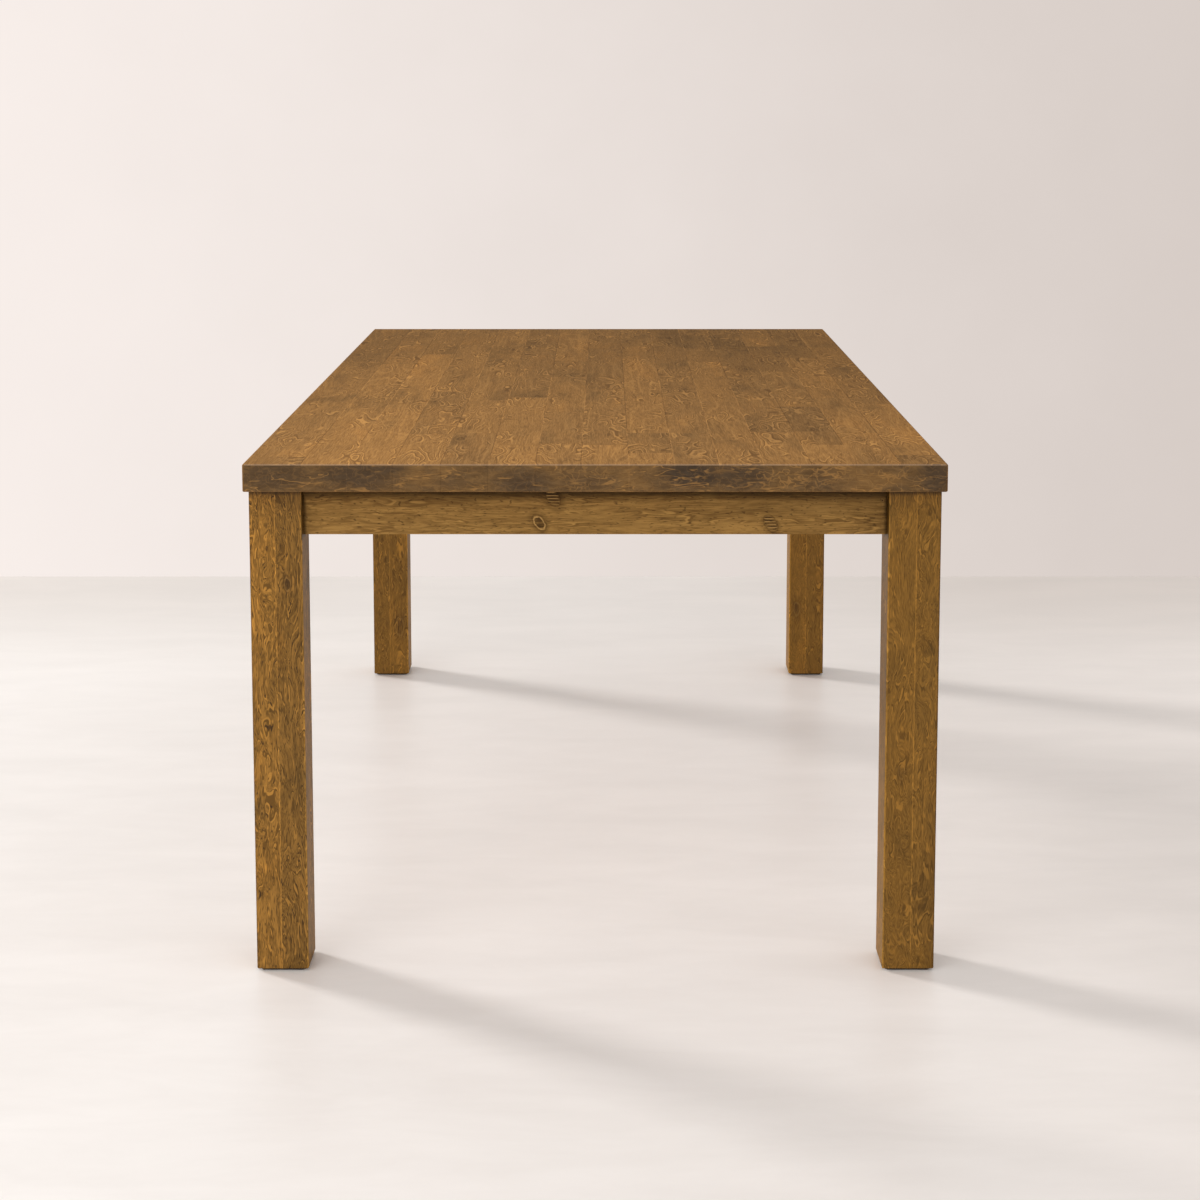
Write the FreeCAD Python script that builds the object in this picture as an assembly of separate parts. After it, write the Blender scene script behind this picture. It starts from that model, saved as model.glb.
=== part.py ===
import FreeCAD, Part
import math
import os

from FreeCAD import Vector

# A solid wood dining table: a finger-jointed stave top on four square legs,
# joined by aprons and bolted corner blocks. It stands on the floor plane,
# X across its width, Y along its length, Z up, near end at -Y.

# Overall sizes
table_length = 1800.0
table_width = 1000.0
table_height = 760.0
top_thickness = 40.0
top_corner_radius = 4.0
top_upper_arris = 3.0
top_lower_chamfer = 1.5

# Staves of the top, left to right, as shares of its width
stave_width_shares = (
    0.083, 0.065, 0.065, 0.068, 0.067, 0.067, 0.065, 0.068,
    0.065, 0.063, 0.063, 0.068, 0.063, 0.064, 0.066,
)

# Joints between the boards of each stave, as shares of the length from the near end
stave_joint_shares = (
    (0.034, 0.661),
    (0.644,),
    (0.733,),
    (0.156, 0.422, 0.806),
    (0.159, 0.361, 0.689),
    (0.097, 0.381, 0.761),
    (0.104, 0.285, 0.535, 0.667),
    (0.096, 0.444, 0.789),
    (0.054, 0.161, 0.356, 0.689),
    (0.159, 0.500, 0.817),
    (0.121, 0.353, 0.661),
    (0.164, 0.528, 0.778),
    (0.096, 0.169, 0.319, 0.578, 0.811),
    (0.161, 0.378, 0.700),
    (0.044, 0.339, 0.617),
)
finger_length = 12.0
finger_count = 4

# Legs, each glued up from two boards; the seam is a share of the side from the left
leg_side = 76.0
leg_end_inset = 35.0
leg_side_inset = 3.0
leg_arris = 3.0
leg_foot_chamfer = 2.0
leg_seam_shares = {"near_left": 0.49, "near_right": 0.54, "far_left": 0.47, "far_right": 0.48}

# Foot pads
pad_thickness = 3.0
pad_inset = 5.0
pad_corner_cut = 4.0

# Aprons
apron_height = 72.0
apron_thickness = 22.0
apron_setback = 20.0
apron_arris = 1.5
groove_height = 3.0
groove_depth = 10.0
groove_drop = 10.0

# Corner blocks and the flats that they face on the legs
leg_flat_cut = 24.0
block_draw_gap = 0.5
block_thickness = 32.0
block_height = 56.0
foot_screw_share = 0.6
foot_screw_seat = 10.0

# Hanger bolts, washers and nuts
bolt_radius = 4.0
bolt_grip_in_leg = 50.0
bolt_point_length = 6.0
bolt_point_radius = 1.5
bolt_stand_out = 3.0
bolt_spacing = 28.0
bolt_sides = 8
washer_radius = 12.0
washer_thickness = 2.0
nut_across_flats = 13.0
nut_height = 6.5

# Wood screws
screw_radius = 2.2
screw_head_radius = 4.4
screw_head_height = 2.8
screw_point_length = 4.0
screw_point_radius = 0.4
screw_sides = 6
block_screw_length = 28.0
rail_screw_length = 46.0
clip_screw_length = 20.0

# Cross rail under the middle of the top
rail_width = 70.0
rail_thickness = 26.0
rail_arris = 1.5
tenon_length = 10.0
tenon_width = 46.0
tenon_thickness = 12.0
tenon_clearance = 0.1
rail_screw_shares = (0.18, 0.5, 0.82)
rail_slot_play = 3.0

# Steel clips that hold the top down on the aprons
clip_thickness = 2.0
clip_width = 20.0
clip_tongue = 8.0
clip_web_gap = 4.0
clip_flange = 22.0
clip_side_shares = (0.14, 0.38, 0.62, 0.86)
clip_end_shares = (0.30, 0.70)

# Clearance round screws and bolts, overrun of cuts, and how closely an edge counts as level or straight
hole_clearance = 0.15
overrun = 5.0
level_share = 1e-6

underside = table_height - top_thickness
leg_height = underside - pad_thickness
leg_left = -table_width / 2 + leg_side_inset
leg_near = -table_length / 2 + leg_end_inset
apron_bottom = underside - apron_height
apron_inner = apron_setback + apron_thickness
frame_centre = underside - apron_height / 2
diagonal = Vector(1, 1, 0).normalize()
corner_names = {
    "near_left": (False, False),
    "near_right": (True, False),
    "far_left": (False, True),
    "far_right": (True, True),
}


def box(low, high):
    """Returns the block between two opposite corners."""
    size = high - low
    return Part.makeBox(size.x, size.y, size.z, low)


def prism(points, along):
    """Returns the solid swept by a flat outline along a vector."""
    return Part.Face(Part.makePolygon(points + points[:1])).extrude(along)


def edges_along(shape, direction):
    """Returns the straight edges of a shape that run in a direction."""
    found = []
    for edge in shape.Edges:
        if len(edge.Vertexes) == 2:
            run = edge.Vertexes[1].Point - edge.Vertexes[0].Point
            if run.cross(direction).Length < run.Length * level_share:
                found.append(edge)
    return found


def edges_at_height(shape, height):
    """Returns the edges of a shape that lie wholly at one height."""
    near = table_height * level_share
    found = []
    for edge in shape.Edges:
        if abs(edge.BoundBox.ZMin - height) < near and abs(edge.BoundBox.ZMax - height) < near:
            found.append(edge)
    return found


def ring(radius, sides, height):
    """Returns a level many-sided wire round the Z axis."""
    turns = [2 * math.pi * (k + 0.5) / sides for k in range(sides)]
    points = [Vector(radius * math.cos(t), radius * math.sin(t), height) for t in turns]
    return Part.makePolygon(points + points[:1])


def faceted(stretches, sides, base, axis):
    """Returns a bar of stretches (start radius, end radius, start, end), stood on its axis.

    Small bolts, screws and their holes have a few flat sides in place of a round one,
    turned alike about one axis, so that a shank clears its hole all round.
    """
    pieces = []
    for start_radius, end_radius, start, end in stretches:
        rings = [ring(start_radius, sides, start), ring(end_radius, sides, end)]
        pieces.append(Part.makeLoft(rings, True, True))
    solid = pieces[0].fuse(pieces[1:]).removeSplitter() if len(pieces) > 1 else pieces[0]
    solid.Placement = FreeCAD.Placement(base, FreeCAD.Rotation(Vector(0, 0, 1), axis))
    return solid


def hole(base, axis, radius, depth, sides):
    """Returns the cutter of a hole that starts outside its mouth."""
    return faceted([(radius, radius, -overrun, depth)], sides, base, axis)


def wood_screw(seat, axis, length):
    """Returns a screw whose head rests on its seat and whose shank runs along the axis."""
    point = length - screw_point_length
    stretches = [
        (screw_head_radius, screw_head_radius, -screw_head_height, 0),
        (screw_radius, screw_radius, 0, point),
        (screw_radius, screw_point_radius, point, length),
    ]
    return faceted(stretches, screw_sides, seat, axis)


def to_corner(shape, corner):
    """Mirrors a piece made for the near left corner to the corner named."""
    right, far = corner_names[corner]
    if right:
        shape = shape.mirror(Vector(0, 0, 0), Vector(1, 0, 0))
    if far:
        shape = shape.mirror(Vector(0, 0, 0), Vector(0, 1, 0))
    return shape


def in_corner(across, along, height):
    """Returns the point at distances inward from the near left leg's two outer faces."""
    return Vector(leg_left + across, leg_near + along, height)


# Places shared by the legs, corner blocks and bolts, measured inward from the leg's outer faces
flat_sum = 2 * leg_side - leg_flat_cut
block_outer_sum = flat_sum + block_draw_gap * math.sqrt(2)
block_inner_sum = block_outer_sum + block_thickness * math.sqrt(2)
bolt_heights = (frame_centre - bolt_spacing / 2, frame_centre + bolt_spacing / 2)
bolt_seat = block_inner_sum / 2
foot_start = block_outer_sum - apron_inner
foot_width = block_inner_sum - block_outer_sum
foot_screw_place = foot_start + foot_width * foot_screw_share


def bolt_base(height):
    """Returns the point where a bolt leaves the inner face of the near left block."""
    return in_corner(bolt_seat, bolt_seat, height)


def hanger_bolt(height):
    """Returns the bolt that runs from the nut, through the block, into the leg."""
    outward = washer_thickness + nut_height + bolt_stand_out
    inward = block_thickness + block_draw_gap + bolt_grip_in_leg
    point = inward - bolt_point_length
    stretches = [
        (bolt_radius, bolt_radius, -outward, point),
        (bolt_radius, bolt_point_radius, point, inward),
    ]
    return faceted(stretches, bolt_sides, bolt_base(height), diagonal * -1)


def washer(height):
    """Returns the washer between a nut and the corner block."""
    place = (bolt_sides, bolt_base(height), diagonal * -1)
    disc = faceted([(washer_radius, washer_radius, -washer_thickness, 0)], *place)
    room = bolt_radius + hole_clearance
    return disc.cut(faceted([(room, room, -washer_thickness - overrun, overrun)], *place))


def nut(height):
    """Returns the hexagon nut of a hanger bolt, screwed tight on its thread."""
    base, axis = bolt_base(height), diagonal * -1
    low, high = -washer_thickness - nut_height, -washer_thickness
    corner = nut_across_flats / math.sqrt(3)
    body = faceted([(corner, corner, low, high)], 6, base, axis)
    bore = faceted([(bolt_radius, bolt_radius, low - overrun, high + overrun)], bolt_sides, base, axis)
    return body.cut(bore)


def foot_screw_spots():
    """Returns the seats and axes of the screws through the near left block's two feet."""
    depth = apron_inner + foot_screw_seat
    spots = []
    for height in bolt_heights:
        spots.append((in_corner(foot_screw_place, depth, height), Vector(0, -1, 0)))
        spots.append((in_corner(depth, foot_screw_place, height), Vector(-1, 0, 0)))
    return spots


def corner_block():
    """Returns the mitred block that ties two aprons and takes the leg's bolts."""
    low = frame_centre - block_height / 2
    outline = [
        in_corner(foot_start, apron_inner, low),
        in_corner(foot_start + foot_width, apron_inner, low),
        in_corner(apron_inner, foot_start + foot_width, low),
        in_corner(apron_inner, foot_start, low),
    ]
    block = prism(outline, Vector(0, 0, block_height))
    bolt_room = bolt_radius + hole_clearance
    through = block_thickness + overrun
    for height in bolt_heights:
        block = block.cut(hole(bolt_base(height), diagonal * -1, bolt_room, through, bolt_sides))
    shank_room = screw_radius + hole_clearance
    head_room = screw_head_radius + hole_clearance
    stretches = [
        (head_room, head_room, -foot_width, 0),
        (shank_room, shank_room, 0, foot_screw_seat + overrun),
    ]
    for seat, axis in foot_screw_spots():
        block = block.cut(faceted(stretches, screw_sides, seat, axis))
    return block


def leg(seam_share):
    """Returns the near left leg: two boards glued along its height, flat and bored at the top."""
    low = in_corner(0, 0, pad_thickness)
    high = in_corner(leg_side, leg_side, underside)
    post = box(low, high)
    post = post.makeFillet(leg_arris, edges_along(post, Vector(0, 0, 1)))
    post = post.makeChamfer(leg_foot_chamfer, edges_at_height(post, pad_thickness))
    reach = leg_side + overrun
    flat = [
        in_corner(flat_sum - reach, reach, apron_bottom),
        in_corner(reach, flat_sum - reach, apron_bottom),
        in_corner(reach, reach, apron_bottom),
    ]
    post = post.cut(prism(flat, Vector(0, 0, apron_height + overrun)))
    bolt_room = bolt_radius + hole_clearance
    for height in bolt_heights:
        mouth = in_corner(flat_sum / 2, flat_sum / 2, height)
        post = post.cut(hole(mouth, diagonal * -1, bolt_room, bolt_grip_in_leg, bolt_sides))
    seam = leg_side * seam_share
    left = box(in_corner(-overrun, -overrun, 0), in_corner(seam, reach, table_height))
    right = box(in_corner(seam, -overrun, 0), in_corner(reach, reach, table_height))
    return Part.makeCompound([post.common(left), post.common(right)])


def foot_pad():
    """Returns the thin pad under the near left leg, its four corners cut off."""
    far_edge = leg_side - pad_inset
    pad = box(in_corner(pad_inset, pad_inset, 0), in_corner(far_edge, far_edge, pad_thickness))
    return pad.makeChamfer(pad_corner_cut, edges_along(pad, Vector(0, 0, 1)))


def clip_spots():
    """Returns for each clip its place on an apron's inner face, the way inward and the way along."""
    inner_x = -leg_left - apron_inner
    inner_y = -leg_near - apron_inner
    span_x = 2 * (-leg_left - leg_side)
    span_y = 2 * (-leg_near - leg_side)
    spots = []
    for share in clip_side_shares:
        y = span_y * (share - 0.5)
        spots.append((Vector(-inner_x, y, underside), Vector(1, 0, 0)))
        spots.append((Vector(inner_x, y, underside), Vector(-1, 0, 0)))
    for share in clip_end_shares:
        x = span_x * (share - 0.5)
        spots.append((Vector(x, -inner_y, underside), Vector(0, 1, 0)))
        spots.append((Vector(x, inner_y, underside), Vector(0, -1, 0)))
    return spots


def clip_screw_seat(spot, inward):
    """Returns the point under a clip's flange where its screw head rests."""
    reach = clip_web_gap + clip_thickness + (clip_flange - clip_thickness) / 2
    return spot + inward * reach - Vector(0, 0, clip_thickness)


def clip(spot, inward):
    """Returns a folded steel clip: tongue in the apron's groove, flange under the top."""
    web_out = clip_web_gap + clip_thickness
    section = [
        (-clip_tongue, -groove_drop - clip_thickness),
        (web_out, -groove_drop - clip_thickness),
        (web_out, -clip_thickness),
        (clip_web_gap + clip_flange, -clip_thickness),
        (clip_web_gap + clip_flange, 0),
        (clip_web_gap, 0),
        (clip_web_gap, -groove_drop),
        (-clip_tongue, -groove_drop),
    ]
    along = inward.cross(Vector(0, 0, 1))
    start = spot - along * (clip_width / 2)
    points = [start + inward * away + Vector(0, 0, rise) for away, rise in section]
    body = prism(points, along * clip_width)
    seat = clip_screw_seat(spot, inward)
    room = screw_radius + hole_clearance
    return body.cut(hole(seat, Vector(0, 0, 1), room, clip_thickness + overrun, screw_sides))


def groove(apron_low, apron_high, inward):
    """Returns the cutter of the clip groove along an apron's inner face."""
    low, high = Vector(apron_low), Vector(apron_high)
    high.z = underside - groove_drop
    low.z = high.z - groove_height
    if inward.x:
        face = high.x if inward.x > 0 else low.x
        low.x, high.x = sorted((face - inward.x * groove_depth, face + inward.x * overrun))
        low.y, high.y = low.y - overrun, high.y + overrun
    else:
        face = high.y if inward.y > 0 else low.y
        low.y, high.y = sorted((face - inward.y * groove_depth, face + inward.y * overrun))
        low.x, high.x = low.x - overrun, high.x + overrun
    return box(low, high)


def apron_screw_holes():
    """Returns the pilot holes that the corner block screws need in all four aprons."""
    room = screw_radius + hole_clearance
    cutters = []
    for seat, axis in foot_screw_spots():
        cutters.append(hole(seat, axis, room, block_screw_length, screw_sides))
    return [to_corner(cutter, corner) for cutter in cutters for corner in corner_names]


def end_apron(far):
    """Returns an apron across the width, between two legs."""
    low = Vector(leg_left + leg_side, leg_near + apron_setback, apron_bottom)
    high = Vector(-leg_left - leg_side, leg_near + apron_inner, underside)
    board = box(low, high)
    lower = [e for e in edges_along(board, Vector(1, 0, 0)) if e.BoundBox.ZMax < frame_centre]
    board = board.makeFillet(apron_arris, lower)
    board = board.cut(groove(low, high, Vector(0, 1, 0)))
    if far:
        board = board.mirror(Vector(0, 0, 0), Vector(0, 1, 0))
    return cut_where_they_meet(board, apron_screw_holes())


def side_apron(right):
    """Returns an apron along the length, with the mortise of the cross rail."""
    low = Vector(leg_left + apron_setback, leg_near + leg_side, apron_bottom)
    high = Vector(leg_left + apron_inner, -leg_near - leg_side, underside)
    board = box(low, high)
    lower = [e for e in edges_along(board, Vector(0, 1, 0)) if e.BoundBox.ZMax < frame_centre]
    board = board.makeFillet(apron_arris, lower)
    board = board.cut(groove(low, high, Vector(1, 0, 0)))
    middle = underside - rail_thickness / 2
    room = tenon_clearance
    mortise_low = Vector(
        high.x - tenon_length - room, -tenon_width / 2 - room, middle - tenon_thickness / 2 - room
    )
    mortise_high = Vector(high.x + overrun, tenon_width / 2 + room, middle + tenon_thickness / 2 + room)
    board = board.cut(box(mortise_low, mortise_high))
    if right:
        board = board.mirror(Vector(0, 0, 0), Vector(1, 0, 0))
    return cut_where_they_meet(board, apron_screw_holes())


def cut_where_they_meet(solid, cutters):
    """Cuts a solid by those cutters whose boxes reach it."""
    for cutter in cutters:
        if solid.BoundBox.intersect(cutter.BoundBox):
            solid = solid.cut(cutter)
    return solid


def rail_screw_seats():
    """Returns the points under the cross rail where its screw heads rest."""
    span = 2 * (-leg_left - apron_inner)
    return [Vector(span * (share - 0.5), 0, underside - rail_thickness) for share in rail_screw_shares]


def cross_rail():
    """Returns the flat rail across the middle, with a stub tenon at each end and slotted screw holes."""
    reach = -leg_left - apron_inner
    low = Vector(-reach, -rail_width / 2, underside - rail_thickness)
    high = Vector(reach, rail_width / 2, underside)
    rail = box(low, high)
    middle = underside - rail_thickness / 2
    lower = [e for e in edges_along(rail, Vector(1, 0, 0)) if e.BoundBox.ZMax < middle]
    rail = rail.makeFillet(rail_arris, lower)
    tenon_low = Vector(-reach - tenon_length, -tenon_width / 2, middle - tenon_thickness / 2)
    tenon_high = Vector(reach + tenon_length, tenon_width / 2, middle + tenon_thickness / 2)
    rail = rail.fuse(box(tenon_low, tenon_high)).removeSplitter()
    up = Vector(0, 0, 1)
    room = screw_radius + hole_clearance
    through = rail_thickness + overrun
    for seat in rail_screw_seats():
        play = Vector(0 if seat.x == 0 else rail_slot_play, 0, 0)
        slot = hole(seat - play, up, room, through, screw_sides)
        if play.x:
            flat = room * math.cos(math.pi / screw_sides)
            slot_low = seat - play - Vector(0, flat, overrun)
            slot_high = seat + play + Vector(0, flat, through)
            middle_part = box(slot_low, slot_high)
            slot = slot.fuse([hole(seat + play, up, room, through, screw_sides), middle_part])
        rail = rail.cut(slot)
    return rail


def top_blank():
    """Returns the whole top, rounded and drilled, before it is parted into staves and boards."""
    low = Vector(-table_width / 2, -table_length / 2, underside)
    high = Vector(table_width / 2, table_length / 2, table_height)
    blank = box(low, high)
    blank = blank.makeFillet(top_corner_radius, edges_along(blank, Vector(0, 0, 1)))
    blank = blank.makeFillet(top_upper_arris, edges_at_height(blank, table_height))
    blank = blank.makeChamfer(top_lower_chamfer, edges_at_height(blank, underside))
    up = Vector(0, 0, 1)
    room = screw_radius + hole_clearance
    for spot, inward in clip_spots():
        blank = blank.cut(hole(clip_screw_seat(spot, inward), up, room, clip_screw_length, screw_sides))
    for seat in rail_screw_seats():
        blank = blank.cut(hole(seat, up, room, rail_screw_length, screw_sides))
    return blank


def finger_line(joint):
    """Returns the zigzag of a finger joint through the top's thickness, from below to above."""
    steps = 2 * finger_count
    line = [(joint, underside - overrun)]
    for k in range(steps + 1):
        line.append((joint - finger_length * (k % 2), underside + top_thickness * k / steps))
    line.append((joint, table_height + overrun))
    return line


def end_line(place):
    """Returns the plain line beyond an end of the table."""
    return [(place, underside - overrun), (place, table_height + overrun)]


def stave(blank, left, right, joints):
    """Returns one stave of the top: its boards, finger-jointed end to end."""
    places = [table_length * (share - 0.5) for share in joints]
    lines = [end_line(-table_length / 2 - overrun)]
    lines += [finger_line(place) for place in places]
    lines += [end_line(table_length / 2 + overrun)]
    boards = []
    for start, end in zip(lines, lines[1:]):
        outline = [Vector(left, y, z) for y, z in start + end[::-1]]
        boards.append(blank.common(prism(outline, Vector(right - left, 0, 0))))
    return Part.makeCompound([solid for board in boards for solid in board.Solids])


def staves():
    """Returns every stave of the top by name, left to right."""
    blank = top_blank()
    made = {}
    left = -table_width / 2
    for number, (width, joints) in enumerate(zip(stave_width_shares, stave_joint_shares), start=1):
        right = left + table_width * width
        outer_left = left - overrun if number == 1 else left
        outer_right = right + overrun if number == len(stave_width_shares) else right
        made[f"top_stave_{number:02d}"] = stave(blank, outer_left, outer_right, joints)
        left = right
    return made


def at_all_corners(shape):
    """Returns a piece and its mirror images at the other three corners."""
    return [to_corner(shape, corner) for corner in corner_names]


def fasteners():
    """Returns the groups of like fasteners by name."""
    bolts, washers, nuts = [], [], []
    for height in bolt_heights:
        bolts += at_all_corners(hanger_bolt(height))
        washers += at_all_corners(washer(height))
        nuts += at_all_corners(nut(height))
    block_screws = []
    for seat, axis in foot_screw_spots():
        block_screws += at_all_corners(wood_screw(seat, axis, block_screw_length))
    up = Vector(0, 0, 1)
    clips, clip_screws = [], []
    for spot, inward in clip_spots():
        clips.append(clip(spot, inward))
        clip_screws.append(wood_screw(clip_screw_seat(spot, inward), up, clip_screw_length))
    rail_screws = [wood_screw(seat, up, rail_screw_length) for seat in rail_screw_seats()]
    return {
        "hanger_bolts": bolts,
        "bolt_washers": washers,
        "bolt_nuts": nuts,
        "corner_block_screws": block_screws,
        "top_clips": clips,
        "top_clip_screws": clip_screws,
        "cross_rail_screws": rail_screws,
    }


def table_parts():
    """Returns every sub-part of the table by name."""
    parts = staves()
    for corner in corner_names:
        seam = leg_seam_shares[corner]
        right, _ = corner_names[corner]
        parts[f"leg_{corner}"] = to_corner(leg(1 - seam if right else seam), corner)
        parts[f"corner_block_{corner}"] = to_corner(corner_block(), corner)
        parts[f"foot_pad_{corner}"] = to_corner(foot_pad(), corner)
    parts["end_apron_near"] = end_apron(False)
    parts["end_apron_far"] = end_apron(True)
    parts["side_apron_left"] = side_apron(False)
    parts["side_apron_right"] = side_apron(True)
    parts["cross_rail"] = cross_rail()
    for name, group in fasteners().items():
        parts[name] = Part.makeCompound(group)
    return parts


os.makedirs("parts", exist_ok=True)
for name, shape in table_parts().items():
    shape.exportStep(f"parts/{name}.step")
    print(name, len(shape.Solids), "solids", round(shape.Volume / 1000, 1), "cm3")
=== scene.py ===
# %% [markdown]
# # A dining table of finger-jointed staves
# The table stands on four square legs. Its thick top is glued up from fifteen long staves,
# and each stave is made of boards joined end to end. The shapes of aprons and fittings come
# with the model and only get their finish here. The boards of the top and of the legs are
# built one by one, so that each board can show its own piece of tree.

# %% Load the table and note its box
import functools
import math
import random

import bmesh
import bpy
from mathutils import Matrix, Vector


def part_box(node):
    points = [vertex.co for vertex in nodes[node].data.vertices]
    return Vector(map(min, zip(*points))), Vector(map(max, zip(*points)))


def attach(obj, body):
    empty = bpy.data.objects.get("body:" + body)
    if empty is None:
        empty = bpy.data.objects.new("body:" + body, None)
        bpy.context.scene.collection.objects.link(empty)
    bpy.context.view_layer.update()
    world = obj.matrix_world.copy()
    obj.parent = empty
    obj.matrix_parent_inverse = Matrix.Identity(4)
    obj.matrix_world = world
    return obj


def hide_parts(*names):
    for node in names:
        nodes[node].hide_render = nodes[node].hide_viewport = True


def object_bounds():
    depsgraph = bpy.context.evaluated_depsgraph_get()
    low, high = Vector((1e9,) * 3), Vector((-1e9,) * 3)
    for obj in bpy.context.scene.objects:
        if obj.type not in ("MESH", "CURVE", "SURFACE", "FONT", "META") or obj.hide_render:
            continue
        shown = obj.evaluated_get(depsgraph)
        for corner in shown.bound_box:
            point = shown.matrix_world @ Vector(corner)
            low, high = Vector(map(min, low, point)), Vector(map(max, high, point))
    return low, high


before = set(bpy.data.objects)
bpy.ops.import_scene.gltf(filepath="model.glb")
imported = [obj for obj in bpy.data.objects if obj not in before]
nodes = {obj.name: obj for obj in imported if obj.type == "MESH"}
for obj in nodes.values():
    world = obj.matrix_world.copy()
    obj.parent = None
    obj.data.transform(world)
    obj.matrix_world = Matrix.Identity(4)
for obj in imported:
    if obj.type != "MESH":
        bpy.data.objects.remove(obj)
cad_low, cad_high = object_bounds()
print("loaded", len(nodes), "pieces, size", [round(v, 3) for v in cad_high - cad_low])

# %% [markdown]
# ## Sizes that the finish needs
# Most sizes are read from the pieces themselves. Where the boards of each stave meet, and
# how deep their fingers reach, is written here again, because the grain has to change from
# one board to the next exactly at that line.

# %% Read the sizes
MM = 0.001
NEAR, FAR = cad_low.y, cad_high.y
LENGTH = FAR - NEAR
TOP = cad_high.z
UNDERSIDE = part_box("top_stave_01")[0].z
APRON_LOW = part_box("end_apron_near")[0].z
FINGER, FINGERS = 12 * MM, 4
TOP_CORNER, TOP_ARRIS, LOWER_ARRIS = 4 * MM, 3 * MM, 1.5 * MM
LEG_ARRIS, LEG_FOOT, LEG_FLAT = 3 * MM, 2 * MM, 24 * MM
STAVES = 15
# Where the boards of each stave meet, as shares of the length from the near end
joint_shares = (
    (0.034, 0.661),
    (0.644,),
    (0.733,),
    (0.156, 0.422, 0.806),
    (0.159, 0.361, 0.689),
    (0.097, 0.381, 0.761),
    (0.104, 0.285, 0.535, 0.667),
    (0.096, 0.444, 0.789),
    (0.054, 0.161, 0.356, 0.689),
    (0.159, 0.500, 0.817),
    (0.121, 0.353, 0.661),
    (0.164, 0.528, 0.778),
    (0.096, 0.169, 0.319, 0.578, 0.811),
    (0.161, 0.378, 0.700),
    (0.044, 0.339, 0.617),
)
print("top", round(TOP, 3), "underside", round(UNDERSIDE, 3), "apron from", round(APRON_LOW, 3))

# %% [markdown]
# ## Working in edit mode from a script
# By hand one would click the edges to bevel. Here a test on place or direction does the
# clicking: everything is deselected, and then whatever passes the test is selected, so that
# the next operator works on it alone.


# %% Helpers for edit mode
def start_clean():
    """Leaves edit mode and deselects every object."""
    if bpy.context.object and bpy.context.object.mode != "OBJECT":
        bpy.ops.object.mode_set(mode="OBJECT")
    bpy.ops.object.select_all(action="DESELECT")


def pick(piece, kind, test):
    """In edit mode, selects the verts, edges or faces that pass a test, and counts them."""
    mesh = bmesh.from_edit_mesh(piece.data)
    mode = bpy.context.tool_settings
    mode.mesh_select_mode = (kind == "verts", kind == "edges", kind == "faces")
    for part in (*mesh.verts, *mesh.edges, *mesh.faces):
        part.select_set(False)
    found = [part for part in getattr(mesh, kind) if test(part)]
    for part in found:
        part.select_set(True)
    bmesh.update_edit_mesh(piece.data)
    return len(found)


def near(a, b):
    """True where two lengths are the same to a hundredth of a millimetre."""
    return abs(a - b) < 0.01 * MM


def add_board(piece, number, low, high):
    """Adds a cube at a board's own place, in the piece being edited, and numbers its faces."""
    centre = [(a + b) / 2 for a, b in zip(low, high)]
    size = [b - a for a, b in zip(low, high)]
    bpy.ops.mesh.primitive_cube_add(size=1, location=centre, scale=size)
    if piece is None:
        piece = bpy.context.object
        bpy.ops.object.transform_apply(location=True, rotation=False, scale=True)
        bpy.ops.object.mode_set(mode="EDIT")
        bpy.ops.mesh.select_all(action="SELECT")
    mesh = bmesh.from_edit_mesh(piece.data)
    mark = mesh.faces.layers.int.get("board") or mesh.faces.layers.int.new("board")
    for face in mesh.faces:
        if face.select:
            face[mark] = number
    bmesh.update_edit_mesh(piece.data)
    return piece


def smooth_arrises(piece):
    """Shades the rounded edges smooth while the large faces beside them stay flat."""
    bpy.ops.object.mode_set(mode="OBJECT")
    bpy.ops.object.shade_smooth_by_angle(angle=math.radians(35))
    bpy.ops.object.modifier_add(type="WEIGHTED_NORMAL")
    piece.modifiers[-1].keep_sharp = True
    bpy.ops.object.modifier_apply(modifier=piece.modifiers[-1].name)


# %% [markdown]
# ## Boards of the top
# On the real table a saw cuts a zigzag of fingers into each board's end, and glue and
# pressure close the joint. From above it is a straight line, and from the side a zigzag.
# Each board starts as a cube at its own place. Level cuts through its thickness give the
# points, and every other row of them is pulled back to make the fingers.


# %% Build one stave from its boards
def board_ends(number):
    """The places along the table where a stave's boards begin and end."""
    return [NEAR + LENGTH * share for share in (0, *joint_shares[number - 1], 1)]


def add_boards(number):
    """Adds a stave's boards as separate blocks of one mesh."""
    low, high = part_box(f"top_stave_{number:02d}")
    ends = board_ends(number)
    start_clean()
    stave = None
    for board, (start, end) in enumerate(zip(ends, ends[1:])):
        stave = add_board(stave, board, (low.x, start, low.z), (high.x, end, high.z))
    stave.name = f"stave_{number:02d}"
    return stave


def cut_fingers(stave, number):
    """Cuts a stave's boards level and pulls every other cut back at the joints."""
    steps = 2 * FINGERS
    levels = [UNDERSIDE + (TOP - UNDERSIDE) * k / steps for k in range(1, steps)]
    for level in levels:
        bpy.ops.mesh.select_all(action="SELECT")
        bpy.ops.mesh.bisect(plane_co=(0, 0, level), plane_no=(0, 0, 1))
    joints = board_ends(number)[1:-1]
    pick(stave, "verts", lambda v: (
        any(near(v.co.z, z) for z in levels[0::2]) and any(near(v.co.y, y) for y in joints)
    ))
    bpy.ops.transform.translate(value=(0, -FINGER, 0))


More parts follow.
